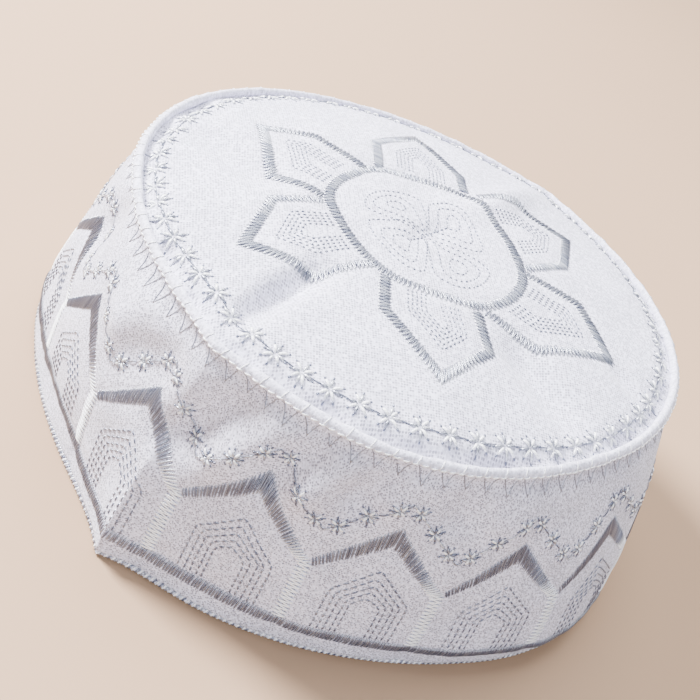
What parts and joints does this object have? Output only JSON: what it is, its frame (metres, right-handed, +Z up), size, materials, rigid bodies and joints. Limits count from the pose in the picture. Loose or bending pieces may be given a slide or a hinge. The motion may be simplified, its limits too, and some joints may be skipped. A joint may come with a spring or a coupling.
{
  "type": "embroidered kufi cap",
  "caption": "Round white cloth kufi with a domed crown panel, corded crown seam, upright embroidered band and bound hem, standing on its rim, softly creased front and back.",
  "frame": {"origin": "on the floor under the middle of the cap, where its rim stands", "axes": "+Z up to the crown; -Y to the front fold crease, +X to the wearer's left when the front crease is worn forward"},
  "size_m": [0.1876, 0.1945, 0.0731],
  "materials": {
    "white_cotton": "matt cotton with a fine pin-dot weave",
    "piping_cotton": "matt rolled cotton",
    "grey_thread": "glossy silver-grey embroidery thread",
    "white_thread": "glossy white embroidery thread"
  },
  "bodies": {
    "root": {"crown_panel": "white_cotton", "side_band": "white_cotton", "crown_piping": "piping_cotton", "hem_binding": "grey_thread"}
  },
  "joints": []
}
